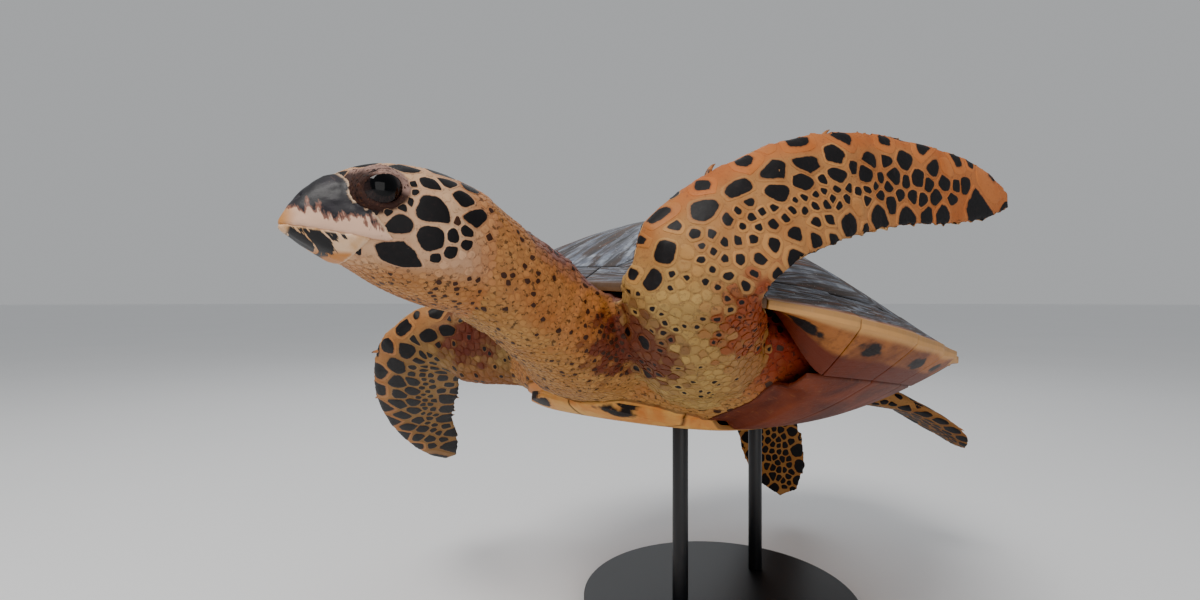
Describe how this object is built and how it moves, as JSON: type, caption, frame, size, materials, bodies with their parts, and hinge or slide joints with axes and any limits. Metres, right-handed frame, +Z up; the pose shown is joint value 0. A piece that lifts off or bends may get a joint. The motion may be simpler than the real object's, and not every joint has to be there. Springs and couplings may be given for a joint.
{
  "type": "hawksbill sea turtle model",
  "caption": "Life-size still model of a hawksbill sea turtle in mid-stroke, head raised and flippers spread, held above a flat display stand by short rods.",
  "frame": {"origin": "centre of the whole model's box, at the underside of the stand's base", "axes": "+Z up, the turtle faces -Y with its left side towards +X"},
  "size_m": [0.5894, 0.7948, 0.4647],
  "materials": {
    "skin": "fine wrinkled skin, semi-matt",
    "scaled_skin": "raised dark scales over pale skin, semi-gloss",
    "dark_horn": "smooth dark keratin",
    "pale_horn": "smooth pale keratin with dark streaks",
    "eye": "wet gloss",
    "carapace": "streaked keratin, semi-gloss",
    "marginal": "amber keratin with dark blotches, semi-gloss",
    "plastron": "cream to orange keratin, semi-gloss",
    "bridge": "rust brown keratin, semi-matt",
    "stand": "satin black paint"
  },
  "bodies": {
    "root": {"nuchal": "marginal", "marginals_front_left": "marginal", "marginals_middle_left": "marginal", "marginals_rear_left": "marginal", "marginals_front_right": "marginal", "marginals_middle_right": "marginal", "marginals_rear_right": "marginal", "vertebral_1": "carapace", "vertebral_2": "carapace", "vertebral_3": "carapace", "vertebral_4": "carapace", "vertebral_5": "carapace", "costal_1_left": "carapace", "costal_2_left": "carapace", "costal_3_left": "carapace", "costal_4_left": "carapace", "costal_1_right": "carapace", "costal_2_right": "carapace", "costal_3_right": "carapace", "costal_4_right": "carapace", "gular_left": "plastron", "humeral_left": "plastron", "pectoral_left": "plastron", "abdominal_left": "plastron", "femoral_left": "plastron", "anal_left": "plastron", "bridge_left": "bridge", "gular_right": "plastron", "humeral_right": "plastron", "pectoral_right": "plastron", "abdominal_right": "plastron", "femoral_right": "plastron", "anal_right": "plastron", "bridge_right": "bridge", "trunk": "skin", "neck": "skin", "head": "scaled_skin", "lower_jaw": "skin", "upper_beak": "dark_horn", "lower_beak": "pale_horn", "eye_left": "eye", "front_flipper_left": "scaled_skin", "hind_flipper_left": "scaled_skin", "claw_front_left_1": "dark_horn", "claw_hind_left_1": "dark_horn", "claw_front_left_2": "dark_horn", "claw_hind_left_2": "dark_horn", "eye_right": "eye", "front_flipper_right": "scaled_skin", "hind_flipper_right": "scaled_skin", "claw_front_right_1": "dark_horn", "claw_hind_right_1": "dark_horn", "claw_front_right_2": "dark_horn", "claw_hind_right_2": "dark_horn", "tail": "scaled_skin", "stand_base": "stand", "stand_rod_front": "stand", "stand_rod_rear": "stand"}
  },
  "joints": []
}
